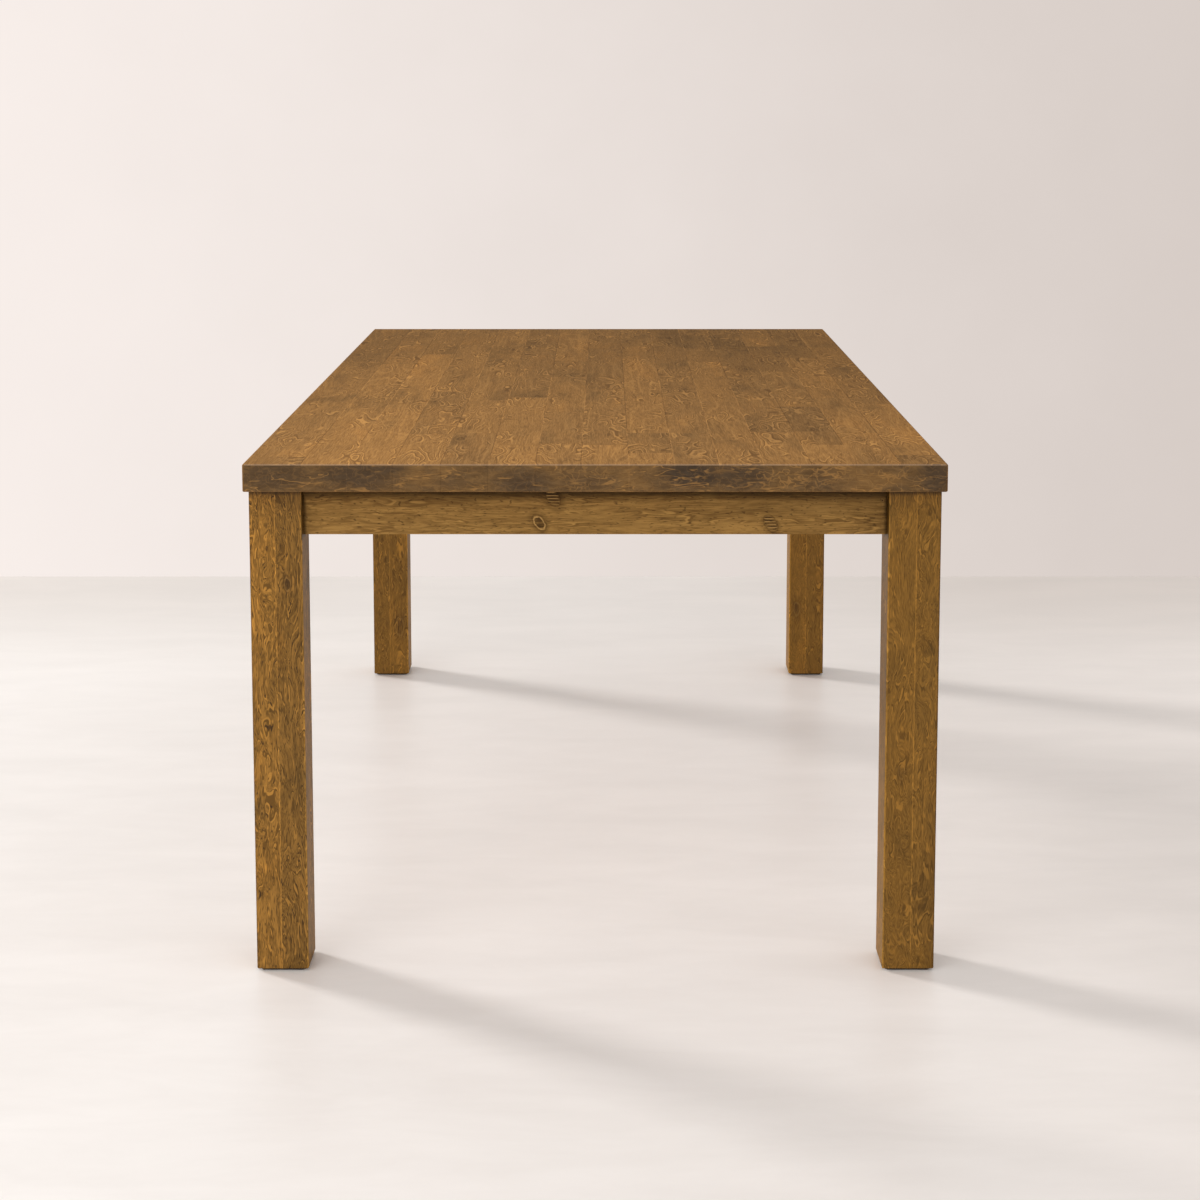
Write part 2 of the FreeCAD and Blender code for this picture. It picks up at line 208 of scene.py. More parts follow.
def round_rim(stave, number):
    """Rounds the edges of a stave that lie on the rim of the top."""
    low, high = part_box(f"top_stave_{number:02d}")
    outer_x = {1: low.x, STAVES: high.x}.get(number)

    def on_rim(face):
        middle = face.calc_center_median()
        at_end = middle.y < NEAR + TOP_CORNER or middle.y > FAR - TOP_CORNER
        at_side = outer_x is not None and abs(middle.x - outer_x) < TOP_CORNER
        return abs(face.normal.z) < 0.5 and (at_end or at_side)

    def rim_at(height):
        return lambda edge: (
            all(near(v.co.z, height) for v in edge.verts) and any(map(on_rim, edge.link_faces))
        )

    if outer_x is not None:
        pick(stave, "edges", lambda e: all(
            near(v.co.x, outer_x) and (near(v.co.y, NEAR) or near(v.co.y, FAR)) for v in e.verts
        ) and near(e.verts[0].co.y, e.verts[1].co.y))
        bpy.ops.mesh.bevel(offset=TOP_CORNER, segments=4, affect="EDGES")
    pick(stave, "edges", rim_at(TOP))
    bpy.ops.mesh.bevel(offset=TOP_ARRIS, segments=4, affect="EDGES")
    pick(stave, "edges", rim_at(UNDERSIDE))
    bpy.ops.mesh.bevel(offset=LOWER_ARRIS, segments=2, affect="EDGES")


# %% [markdown]
# ## What each board remembers
# Every board carries a few numbers on its faces, which the wood material reads. "tree" holds
# its tone and its place in the tree. "seam" holds how far each point is from the glue lines.
# "knot" holds where the board's knot lies, how wide it is and how dark. So one material can
# finish all fifty-nine boards of the top, and each still looks like a board of its own.
# Tones go from -1 for grey-brown to 1 for golden. The boards that stand out in the
# photograph have theirs written here, and the others draw a mild one.

# %% Tones and knots of the top, counted from the near left corner
board_tones = {
    (1, 0): -0.12, (1, 1): 0.10, (2, 0): 0.42, (3, 0): 0.50, (4, 0): 0.26, (4, 1): -0.22,
    (6, 0): 0.35, (7, 0): 0.05, (7, 1): -0.10, (7, 3): -0.40, (8, 0): 0.35, (9, 0): 0.30,
    (9, 1): -0.15, (9, 2): 0.15, (12, 0): 0.20, (13, 0): 0.35, (13, 1): -0.20, (13, 2): -0.48,
    (14, 1): 0.10, (15, 0): -0.30, (15, 1): 0.35, (15, 2): -0.15,
}
# x and y in metres, half width in millimetres, darkness
top_knots = (
    (-0.319, 0.150, 7, 0.8), (-0.274, -0.265, 6, 0.9), (-0.205, -0.670, 9, 0.9),
    (-0.154, 0.230, 5, 0.7), (-0.103, -0.200, 8, 0.8), (-0.060, -0.175, 12, 0.6),
    (-0.050, 0.015, 5, 0.7), (0.100, -0.165, 10, 0.6), (0.155, -0.105, 8, 0.9),
    (0.143, -0.040, 5, 0.7), (0.228, 0.050, 5, 0.7), (0.280, 0.180, 9, 0.8),
    (0.315, 0.015, 4, 0.7), (0.352, -0.245, 5, 0.6), (0.340, -0.588, 11, 0.8),
    (0.248, -0.580, 8, 0.8), (0.400, -0.010, 4, 0.7), (0.402, -0.675, 5, 0.8),
    (0.445, -0.835, 10, 0.6), (-0.473, -0.230, 12, 0.5), (0.205, -0.685, 5, 0.7),
    (-0.083, -0.712, 4, 0.7), (-0.295, -0.780, 6, 0.7), (-0.042, -0.875, 6, 0.7),
    (-0.150, -0.060, 5, 0.6), (-0.440, 0.420, 6, 0.6), (-0.220, 0.520, 5, 0.7),
    (0.040, 0.400, 5, 0.6), (0.180, 0.560, 6, 0.6), (0.360, 0.450, 5, 0.7),
)
draw = random.Random(7)
# The faces can't hold numbers below 0, so the places of knots are written one metre up
KNOT_SHIFT = 1.0
NO_KNOT = (0, 0, 1, 0)


# %% Write the numbers on the faces
def write_colours(piece, name, pick_colour):
    """Adds a corner attribute of four numbers, worked out from each corner's board and place."""
    layer = piece.data.attributes.new(name, "FLOAT_COLOR", "CORNER")
    numbers = piece.data.attributes["board"].data
    for face in piece.data.polygons:
        for corner in face.loop_indices:
            place = piece.data.vertices[piece.data.loops[corner].vertex_index].co
            layer.data[corner].color = pick_colour(numbers[face.index].value, place)


def mark_stave(stave, number):
    """Writes a stave's tones, seams and knots."""
    low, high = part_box(f"top_stave_{number:02d}")
    ends = board_ends(number)
    joints = ends[1:-1]
    trees, spots = [], []
    for board, (start, end) in enumerate(zip(ends, ends[1:])):
        tone = board_tones.get((number, board), draw.uniform(-0.30, 0.30))
        trees.append((0.5 + tone / 2, draw.random(), draw.random(), 1))
        found = [k for k in top_knots if low.x < k[0] < high.x and start < k[1] < end]
        x, y, width, dark = found[0] if found else NO_KNOT
        spots.append((x + KNOT_SHIFT, y + KNOT_SHIFT, width * 0.8 * MM, dark * 0.6))

    def to_seams(board, place):
        left = place.x - low.x if number > 1 else 1
        right = high.x - place.x if number < STAVES else 1
        start, end = (
            0 if near(place.y, y) or near(place.y, y - FINGER) else abs(place.y - y)
            for y in ends[board:board + 2]
        )
        return left, right, start if board else 1, end if board < len(joints) else 1

    write_colours(stave, "tree", lambda board, place: trees[board])
    write_colours(stave, "knot", lambda board, place: spots[board])
    write_colours(stave, "seam", to_seams)


# %% Build the fifteen staves
staves = []
for number in range(1, STAVES + 1):
    stave = add_boards(number)
    cut_fingers(stave, number)
    round_rim(stave, number)
    smooth_arrises(stave)
    mark_stave(stave, number)
    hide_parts(f"top_stave_{number:02d}")
    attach(stave, "root")
    staves.append(stave)
print("staves", len(staves), "faces", sum(len(s.data.polygons) for s in staves))

# %% [markdown]
# ## Legs of two boards
# A thick leg is cheaper and steadier when two thinner boards are glued side by side, and the
# glue line shows down the middle of its faces. The board at the table's inner corner ends in
# a five-sided head, because a flat is cut there for the corner block. That board starts as
# a cube up to the apron, its upper face is cut across the corner, and only the larger part
# of that face is extruded on to the top.

# %% Tones and knots of the legs
seam_shares = {"near_left": 0.49, "near_right": 0.54, "far_left": 0.47, "far_right": 0.48}
leg_trees = {
    "near_left": ((0.69, 0.11, 0.83), (0.38, 0.57, 0.29)),
    "near_right": ((0.41, 0.31, 0.67), (0.38, 0.93, 0.13)),
    "far_left": ((0.42, 0.71, 0.37), (0.58, 0.19, 0.53)),
    "far_right": ((0.55, 0.47, 0.91), (0.38, 0.83, 0.07)),
}
# x and z in metres, half width in millimetres, darkness
leg_knots = {
    ("near_left", 1): (-0.443, 0.579, 4, 1.0),
    ("near_right", 0): (0.445, 0.300, 4, 0.5),
    ("far_left", 1): (-0.440, 0.110, 8, 0.7),
    ("far_right", 0): (0.438, 0.150, 6, 0.7),
}


# %% Build one leg
def add_leg(corner):
    """Adds a leg of two boards, the inner one with its five-sided head."""
    low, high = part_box("leg_" + corner)
    seam = low.x + (high.x - low.x) * seam_shares[corner]
    inner = Vector((high.x if "left" in corner else low.x, high.y if "near" in corner else low.y))
    outward = Vector((1 if "left" in corner else -1, 1 if "near" in corner else -1, 0))
    start_clean()
    leg = None
    for board, (left, right) in enumerate(((low.x, seam), (seam, high.x))):
        headed = inner.x in (left, right)
        head = APRON_LOW if headed else high.z
        leg = add_board(leg, board, (left, low.y, low.z), (right, high.y, head))
        if headed:
            pick(leg, "faces", lambda f: f.normal.z > 0.5 and near(f.calc_center_median().z, head))
            cut = (inner.x - outward.x * LEG_FLAT, inner.y, head)
            bpy.ops.mesh.bisect(plane_co=cut, plane_no=outward)
            pick(leg, "faces", lambda f: (
                f.normal.z > 0.5 and near(f.calc_center_median().z, head) and len(f.verts) == 5
            ))
            bpy.ops.mesh.extrude_region_move(
                TRANSFORM_OT_translate={"value": (0, 0, high.z - head)}
            )

    def on_outline(v):
        at_x = near(v.co.x, low.x) or near(v.co.x, high.x)
        return at_x and (near(v.co.y, low.y) or near(v.co.y, high.y))

    pick(leg, "edges", lambda e: all(map(on_outline, e.verts)) and (
        near(e.verts[0].co.x, e.verts[1].co.x) and near(e.verts[0].co.y, e.verts[1].co.y)
    ))
    bpy.ops.mesh.bevel(offset=LEG_ARRIS, segments=5, affect="EDGES")
    pick(leg, "edges", lambda e: all(near(v.co.z, low.z) for v in e.verts) and not all(
        near(v.co.x, seam) for v in e.verts
    ))
    bpy.ops.mesh.bevel(offset=LEG_FOOT, segments=2, affect="EDGES")
    smooth_arrises(leg)
    leg.name = f"post_{corner}"
    return leg, seam


def mark_leg(leg, corner, seam):
    """Writes a leg's tones, its seam and its knots."""
    def knot(board, place):
        x, z, width, dark = leg_knots.get((corner, board), NO_KNOT)
        return x + KNOT_SHIFT, z + KNOT_SHIFT, width * MM, dark

    write_colours(leg, "tree", lambda board, place: (*leg_trees[corner][board], 1))
    write_colours(leg, "knot", knot)
    write_colours(leg, "seam", lambda board, place: (abs(place.x - seam), 1, 1, 1))


# %% Build the four legs
legs = {}
for corner in seam_shares:
    leg, seam = add_leg(corner)
    mark_leg(leg, corner, seam)
    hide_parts("leg_" + corner)
    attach(leg, "root")
    legs[corner] = leg
print("legs", len(legs), "faces", sum(len(leg.data.polygons) for leg in legs.values()))

# %% [markdown]
# ## Writing materials as sums
# A material is a web of nodes, which is hard to read in code. This small class stands for a
# socket, and turns plain arithmetic on it into Math nodes, so that a pattern reads like a
# formula.


# %% Sockets that can be added and multiplied
class Value:
    """One output socket of a material's nodes."""

    def __init__(self, shade, socket):
        self.shade, self.socket = shade, socket

    def __add__(self, other):
        return self.shade.math("ADD", self, other)

    def __sub__(self, other):
        return self.shade.math("SUBTRACT", self, other)

    def __rsub__(self, other):
        return self.shade.math("SUBTRACT", other, self)

    def __mul__(self, other):
        return self.shade.math("MULTIPLY", self, other)

    def __truediv__(self, other):
        return self.shade.math("DIVIDE", self, other)

    def __rtruediv__(self, other):
        return self.shade.math("DIVIDE", other, self)

    def __pow__(self, other):
        return self.shade.math("POWER", self, other)

    def __abs__(self):
        return self.shade.math("ABSOLUTE", self)

    __radd__ = __add__
    __rmul__ = __mul__


# %% Materials and their nodes
class Shade:
    """Builds the nodes of one material, or of the world."""

    def __init__(self, owner):
        owner.use_nodes = True
        self.owner, self.tree = owner, owner.node_tree
        self.tree.nodes.clear()

    def node(self, kind, settings=None, values=None, out=0):
        """Adds a node: its settings first, then the values or links of its inputs."""
        made = self.tree.nodes.new("ShaderNode" + kind)
        for name, setting in (settings or {}).items():
            setattr(made, name, setting)
        for name, value in (values or {}).items():
            socket = made.inputs[name]
            if isinstance(value, Value):
                self.tree.links.new(value.socket, socket)
            else:
                socket.default_value = value
        return None if out is None else Value(self, made.outputs[out])

    def math(self, operation, *numbers):
        """Adds a Math node on one, two or three numbers."""
        return self.node("Math", {"operation": operation}, dict(enumerate(numbers)))

    def most(self, *numbers):
        """The largest of some numbers."""
        return functools.reduce(lambda a, b: self.math("MAXIMUM", a, b), numbers)

    def least(self, *numbers):
        """The smallest of some numbers."""
        return functools.reduce(lambda a, b: self.math("MINIMUM", a, b), numbers)

    def vector(self, operation, a, b, out=0):
        """Adds a Vector Math node on two vectors."""
        return self.node("VectorMath", {"operation": operation}, {0: a, 1: b}, out)

    def scaled(self, a, factor):
        """Makes a vector longer or shorter."""
        return self.node("VectorMath", {"operation": "SCALE"}, {0: a, "Scale": factor})

    def split(self, a):
        """Takes a vector apart into three numbers."""
        outputs = self.node("SeparateXYZ", None, {0: a}).socket.node.outputs
        return [Value(self, socket) for socket in outputs]

    def written(self, name):
        """Reads the four numbers that a board carries under a name."""
        source = self.node("Attribute", {"attribute_name": name}, out="Color")
        return (*self.split(source), Value(self, source.socket.node.outputs["Alpha"]))

    def fade(self, value, low, high):
        """Goes smoothly from 0 to 1 while a value goes from low to high."""
        return self.node(
            "MapRange", {"interpolation_type": "SMOOTHSTEP"},
            {"Value": value, "From Min": low, "From Max": high},
        )

    def mix(self, factor, a, b, blend="MIX"):
        """Mixes two colours."""
        return self.node("Mix", {"data_type": "RGBA", "blend_type": blend}, {0: factor, 6: a, 7: b}, 2)

    def tint(self, factor, colour, by):
        """Multiplies a colour by another one, as far as the factor says."""
        return self.mix(factor, colour, (*by, 1), "MULTIPLY")

    def noise(self, place, across, along, depth=None, detail=2.0, roughness=0.5, warp=0.0, out=0):
        """Cloudy noise whose features have the size given in each direction."""
        size = (1 / across, 1 / along, 1 / (depth or across))
        return self.node(
            "TexNoise", None,
            {"Vector": self.vector("MULTIPLY", place, size), "Scale": 1.0, "Detail": detail,
             "Roughness": roughness, "Distortion": warp},
            out,
        )

    def finish(self, colour, roughness, height=None, bump=0.0, reach=0.001, **constants):
        """Joins the surface: what varies is linked, and constants are set on their sockets."""
        values = {"Base Color": colour, "Roughness": roughness, **constants}
        if height is not None:
            values["Normal"] = self.node(
                "Bump", None, {"Strength": bump, "Distance": reach, "Height": height}
            )
        return self.show(self.node("BsdfPrincipled", None, values), "OutputMaterial")

    def show(self, surface, output):
        """Ends the web of nodes in its output."""
        self.node(output, None, {"Surface": surface}, out=None)
        return self.owner


# %% [markdown]
# ## Wood
# The grain of a plank is a cut through the tree's growth rings. Here the rings are the
# contour lines of a slow noise that is long along the plank and short across it, which gives
# arches, ovals and swirls as a flat-sawn face has them. Before that, the place is pushed
# sideways by two softer noises, so that lines, streaks and pores all bend together, as
# fibres do where a tree grew wild.


# %% Turn a piece's own coordinates to its grain
def in_grain_order(shade, order):
    """The object's own coordinates, turned so that the second one runs along the grain."""
    parts = shade.split(shade.node("TexCoord", out="Object"))
    picked = [parts["XYZ".index(letter)] for letter in order]
    return shade.node("CombineXYZ", None, dict(enumerate(picked))), picked


def facing(shade, letter):
    """1 on faces that look along one of the object's directions and 0 on the others."""
    parts = shade.split(shade.node("NewGeometry", out="True Normal"))
    return shade.fade(abs(parts["XYZ".index(letter)]), 0.75, 0.95)


def arris(shade):
    """1 on rounded edges of three kinds: upper ones along X, and upright ones out or inward."""
    normal = shade.split(shade.node("NewGeometry", out="True Normal"))
    place = shade.split(shade.node("TexCoord", out="Object"))
    x, y, z = (abs(part) for part in normal)
    edge = shade.fade(shade.most(x, y, z), 0.995, 0.93)
    upper = edge * shade.fade(x, 0.30, 0.10) * shade.fade(normal[2], 0.10, 0.30)
    upright = edge * shade.fade(x, 0.10, 0.30)
    inward = upright * shade.fade(normal[0] * place[0], -0.08, -0.15)
    return upper, upright - inward, inward


# %% [markdown]
# The boards of the top and of the legs carry their own numbers, which are read back here.
# From one tree to the next, the place in the tree jumps by several metres, so no two boards
# show the same figure.

# %% Read what a board carries
TREE_STEPS = (7.0, 23.0, 17.0)
SEAM_FROM, SEAM_TO = 1.1 * MM, 0.3 * MM


def read_board(shade):
    """A board's place in its tree, its tone, its seams and its knot."""
    tone, *seed, _ = shade.written("tree")
    mark = shade.node("CombineXYZ", None, {0: tone, 1: seed[0], 2: seed[1]})
    x, y, width, dark = shade.written("knot")
    knot = (x - KNOT_SHIFT, y - KNOT_SHIFT, width, dark, 1.0)
    seam = shade.fade(shade.least(*shade.written("seam")), SEAM_FROM, SEAM_TO)
    return mark, tone, seam, (knot,)


# %% [markdown]
# A knot is the root of a branch. Rings bend round it, the wood beside it is darker, a thin
# light rim goes round it, and its core is dark and broken. Each knot is a ragged ellipse, so
# one distance gives all of them. A knot that isn't whole has no rim: its core is split into
# short light and dark lines.

# %% Knots
# Places of the parts of a knot, as the square of how many half widths from its middle
CORE_EDGE, RIM_MIDDLE, SPLIT_EDGE, OUTLINE_MIDDLE, SHADOW_EDGE = 1.1, 1.2, 2.2, 2.2, 8.0
RAGGED_SIZE, RAGGED = (0.006, 0.010), 1.6
KNOT_PUSH = 2.4


def knots(shade, place, across, along, spots, stretch, lean):
    """Adds up knots. Gives how far they push the rings, their halo, rim, core and splits."""
    ragged = (shade.noise(place, *RAGGED_SIZE) - 0.5) * RAGGED
    push, halo, rim, core, split = 0.0, 0.0, 0.0, 0.0, 0.0
    for x, y, width, dark, whole in spots:
        aside = across - x
        a, b = aside / width, (along - y + aside * lean) / (width * stretch)
        square = a * a + b * b + ragged
        push = KNOT_PUSH / (square + 1) * dark + push
        outline = shade.fade(abs(square - OUTLINE_MIDDLE), 0.8, 0.2) * 0.9
        halo = shade.most(halo, shade.most(shade.fade(square, SHADOW_EDGE, 0.4) * 0.65, outline) * dark)
        rim = shade.most(rim, shade.fade(abs(square - RIM_MIDDLE), 0.45, 0.12) * dark * whole)
        core = shade.most(core, shade.fade(square, CORE_EDGE, 0.6) * dark * whole)
        split = shade.most(split, shade.fade(square, SPLIT_EDGE, 1.0) * dark * (1 - whole))
    return push, halo, rim, core, split


# %% [markdown]
# Every wood starts from the look of a plain board and changes some of its values. Sizes are
# in metres, across the grain and along it. The other values say how strong a pattern is.

# %% What a plain board looks like
plain_look = {
    "swirl": 1.0, "sway_size": (0.055, 0.40), "curl_size": (0.018, 0.090),
    "lines": 1.0, "streaks": 1.0, "fibres": 1.0, "fibre_size": (0.0013, 0.034),
    "pores": 1.0, "pore_size": (0.0016, 0.015),
    "arcs": 0.5, "arc_size": (0.014, 0.085), "arc_turns": 6, "arc_spread": 0.0,
    "stroke_size": (0.013, 0.060),
    "blotch": 0.5, "cloud_size": (0.060, 0.30),
    # Painted shade: where shade is painted into the colour, and its tint
    "pooled": None, "pool_tint": (0.12, 0.11, 0.10),
    "spots": (), "knot_form": (2.2, 0.0), "rimmed": 0.3,
    # Glue lines, a painted highlight on upper edges that also stands for worn stain, and the coat
    "glue": (0.3, 0.3), "glue_from": 0.46, "worn": 0.0, "coat": 0.12,
}
print("a plain board has", len(plain_look), "values")

# %% [markdown]
# The figure goes from large to small: how the fibres bend, the rings, the streaks, fibres
# and pores, and short light arcs with a dark line beside them where the figure curls.

# %% The figure of the wood
SWAY, CURL = (0.030, 0, 0.030), (0.014, 0.012, 0.014)
WILD_SIZE, SLOW_SIZE, WAVE_SIZE = (0.070, 0.42), (0.085, 1.30), (0.028, 0.24)
SHOWN_SIZE, STREAK_SIZE, PATCH_SIZE = (0.090, 0.45), (0.0048, 0.240), (0.035, 0.19)
RING_TURNS = 15


def bent(shade, grown, wild, look):
    """Pushes a place sideways, gently everywhere and strongly where the tree grew wild."""
    def push(size, reach):
        soft = shade.vector("SUBTRACT", shade.noise(grown, *size, detail=1.0, out="Color"), (0.5, 0.5, 0.5))
        return shade.vector("MULTIPLY", soft, [part * look["swirl"] for part in reach])

    sway = push(look["sway_size"], SWAY)
    curl = shade.scaled(push(look["curl_size"], CURL), wild * 0.85 + 0.15)
    return shade.vector("ADD", grown, shade.vector("ADD", sway, curl))


def figure(shade, grown, push, look):
    """Gives the lightness of the wood, and the lines, streaks, fibres, pores and arcs in it."""
    wild = shade.fade(shade.noise(grown, *WILD_SIZE, detail=1.0), 0.47, 0.66)
    flow = bent(shade, grown, wild, look)
    slow = shade.noise(flow, *SLOW_SIZE, detail=1.0)
    wave = shade.noise(flow, *WAVE_SIZE, detail=1.0)
    rings = slow * RING_TURNS + wave * (0.5 + wild * 1.8) + push
    ring = shade.math("SINE", rings * math.tau) * 0.5 + 0.5
    shown = shade.fade(shade.noise(grown, *SHOWN_SIZE, detail=1.0), 0.42, 0.60)
    line = ring ** 8 * shown

    streak = shade.noise(flow, *STREAK_SIZE, detail=4.0, roughness=0.66)
    fibre = shade.noise(flow, *look["fibre_size"], detail=1.5)
    pore = shade.noise(flow, *look["pore_size"], detail=0.5)
    pore = shade.fade(pore, 0.655, 0.725) * look["pores"]

    ripple = shade.noise(flow, *look["arc_size"], detail=0.8) * look["arc_turns"] * math.tau
    patch = shade.noise(grown, *PATCH_SIZE, detail=1.5) + look["arc_spread"]
    stroke = shade.noise(flow, *look["stroke_size"], detail=1.0)
    patch = shade.fade(patch, 0.42, 0.60) * shade.fade(stroke, 0.44, 0.56) * look["arcs"]
    light_arc = shade.fade(shade.math("SINE", ripple), 0.66, 1.0) * patch
    dark_arc = shade.fade(shade.math("SINE", ripple + 1.5), 0.70, 0.98) * patch

    tint = 0.5 + (streak - 0.5) * 1.6 * look["streaks"] + (fibre - 0.5) * 0.9 * look["fibres"]
    tint = tint + ((ring - 0.5) * 0.14 * shown + line * 0.30) * look["lines"]
    tint = tint + light_arc * 0.60 - dark_arc * 0.42
    return tint, line, streak, fibre, pore, light_arc


# %% [markdown]
# End grain drinks stain like a bundle of straws. So the ends of the boards are darker than
# their faces, with grey-blue pools where much of it soaked in, and thin light wisps.

# %% End grain
# Pools, warm patches and curls: share of the width, share of the height, half width in
# millimetres, and strength
end_pools = (
    (0.045, 0.60, 55, 0.6), (0.165, 0.65, 60, 0.8), (0.400, 0.25, 42, 0.7), (0.480, 0.40, 35, 0.3),
    (0.635, 0.65, 48, 1.0), (0.705, 0.60, 42, 0.8), (0.830, 0.35, 40, 0.3), (0.985, 0.50, 28, 0.8),
)
end_warm = (
    (0.270, 0.55, 30, 0.5), (0.470, 0.75, 60, 0.25), (0.560, 0.60, 30, 0.35), (0.880, 0.50, 60, 0.6),
)
end_curls = ((0.790, 0.70, 65, 0.6), (0.920, 0.45, 30, 0.5), (0.480, 0.70, 40, 0.3))
END_SPOT_HEIGHT = 24 * MM
END_STREAK, END_POOL, END_WISP = (0.022, 0.022, 0.0060), (0.050, 0.050, 0.022), (0.055, 0.055, 0.012)
END_PATCH, END_CURL = (0.060, 0.060, 0.022), (0.013, 0.013, 0.010)
SOAKED, SOAKED_GREY, SOAKED_BLUE = (0.525, 0.585, 0.77), (0.86, 0.87, 0.90), (0.62, 0.68, 0.88)
POOLED_BLUE, WARM_PATCH = (0.42, 0.50, 0.78), (1.42, 1.34, 1.15)


def around(shade, across, depth, spots, wobble):
    """How near a point of the end face is to the middle of the nearest spot, from 0 to 1."""
    nearest = 0.0
    for x_share, z_share, half_width, strength in spots:
        a = (across - (cad_low.x + (cad_high.x - cad_low.x) * x_share)) / (half_width * MM)
        b = (depth - (UNDERSIDE + (TOP - UNDERSIDE) * z_share)) / END_SPOT_HEIGHT
        square = a * a + b * b + wobble
        nearest = shade.most(nearest, shade.fade(square, 1.5, 0.0) * strength)
    return nearest


def end_grain(shade, place, across, depth, tone, dark, light):
    """Stain soaked into the ends, with pools, warm patches and wisps."""
    streak = shade.noise(place, *END_STREAK, detail=4.0, roughness=0.65, warp=1.0)
    soaked = shade.mix(shade.fade(streak, 0.10, 0.95), dark, light)
    soaked = shade.tint(1 - tone, soaked, SOAKED_GREY)
    soaked = shade.tint(1.0, soaked, SOAKED)
    pool = shade.noise(place, *END_POOL, detail=2.5, roughness=0.55, warp=0.5)
    soaked = shade.tint(shade.fade(pool, 0.40, 0.72) * 0.6, soaked, SOAKED_BLUE)
    soaked = shade.tint(around(shade, across, depth, end_pools, (pool - 0.5) * 3.0), soaked, POOLED_BLUE)
    soaked = shade.tint(around(shade, across, depth, end_warm, (pool - 0.5) * 3.0), soaked, WARM_PATCH)
    wisp = shade.noise(place, *END_WISP, detail=2.5, roughness=0.6, warp=0.6)
    patch = shade.fade(shade.noise(place, *END_PATCH, detail=1.0, warp=0.4), 0.46, 0.58)
    line = shade.fade(abs(wisp - 0.5), 0.030, 0.006) * patch
    curl = shade.noise(place, *END_CURL, detail=1.5, warp=0.5)
    curled = around(shade, across, depth, end_curls, (pool - 0.5) * 2.0) + 0.22
    line = shade.most(line, shade.fade(abs(curl - 0.5), 0.045, 0.010) * curled)
    return shade.mix(line * 0.48, soaked, light)


# %% [markdown]
# Over the figure lie the board's own tone, from grey-brown to golden, and clouds of deeper
# and thinner stain, some in each board and some wiped across them all. Pores, knots and
# glue lines are darker. The upper edges get a painted highlight that also stands for worn
# stain, the upright outer edges painted shade, and the inner ones a painted highlight.

# %% Stain, and what shows through it
GREY_BOARD, GOLDEN_BOARD = (0.62, 0.65, 0.74), (1.38, 1.34, 1.24)
DEEP_STAIN, THIN_STAIN = (0.50, 0.53, 0.60), (1.30, 1.24, 1.12)
ARC_LIGHT, KNOT_HALO = (1.24, 1.22, 1.17), (0.50, 0.48, 0.48)
# The worn edge colour is a painted highlight on upper edges, which also stands for worn stain
PORE_BROWN, KNOT_RIM, WORN_EDGE_AND_HIGHLIGHT = (0.030, 0.014, 0.005, 1), (0.46, 0.27, 0.09, 1), (0.60, 0.47, 0.37, 1)
GLUE_DARK, GLUE_LIGHT = (0.35, 0.30, 0.28), (1.50, 1.50, 1.50)
# Painted shade on upright outer edges and a painted highlight on inner ones
OUTER_EDGE_SHADE, INNER_EDGE_HIGHLIGHT = (0.45, 0.42, 0.40), (1.80, 1.88, 1.90)
WIPED_SIZE, BROKEN_SIZE, KNOT_STRIPE = (0.120, 0.36), (0.0030, 0.0180), 4.4 * MM


def stained(shade, colour, tone, grown, wiped, look):
    """The board's own tone, and clouds of deeper and thinner stain."""
    golden = shade.tint(1.0, colour, GOLDEN_BOARD)
    colour = shade.mix(tone, shade.tint(1.0, colour, GREY_BOARD), golden)
    cloud = shade.noise(grown, *look["cloud_size"], detail=3.0, roughness=0.55, warp=0.4)
    cloud = (cloud + wiped) * 0.5
    colour = shade.tint(shade.fade(cloud, 0.50, 0.64) * look["blotch"], colour, DEEP_STAIN)
    return shade.tint(shade.fade(cloud, 0.47, 0.36) * look["blotch"], colour, THIN_STAIN)


def knotted(shade, place, across, wiped, colour, pore, knot, look):
    """Knots, whole or split, and pores."""
    halo, rim, core, split = knot
    broken = shade.fade(shade.noise(place, *BROKEN_SIZE, detail=1.0), 0.44, 0.56)
    stripe = shade.math("SINE", across * (math.tau / KNOT_STRIPE) + wiped * 12)
    split = split * (broken * 0.6 + 0.4)
    colour = shade.mix(split * shade.fade(stripe, 0.1, 0.7) * 0.85, colour, KNOT_RIM)
    colour = shade.tint(halo * 0.9, colour, KNOT_HALO)
    colour = shade.mix(rim * look["rimmed"], colour, KNOT_RIM)
    core, split = core * (broken * 0.50 + 0.15), split * shade.fade(stripe, 0.0, -0.6) * 0.95
    return shade.mix(shade.most(pore * 0.55, core, split), colour, PORE_BROWN)


def edged(shade, colour, seam, wiped, upper, outward, inward, look):
    """Glue lines, lighter where stain is thin; painted highlights on upper and inner edges, shade on outer.
    """
    glue_dark, glue_light = look["glue"]
    lit = shade.fade(wiped, look["glue_from"], look["glue_from"] + 0.08)
    colour = shade.tint(seam * (1 - lit) * glue_dark, colour, GLUE_DARK)
    colour = shade.tint(seam * lit * glue_light, colour, GLUE_LIGHT)
    colour = shade.mix(upper * look["worn"], colour, WORN_EDGE_AND_HIGHLIGHT)
    colour = shade.tint(outward * 0.5, colour, OUTER_EDGE_SHADE)
    return shade.tint(inward * 0.8, colour, INNER_EDGE_HIGHLIGHT)


# %% [markdown]
# The recipe puts these together. Each step multiplies or mixes the colour a little. The same
# fibres also raise the surface by a hair, which breaks up its sheen.


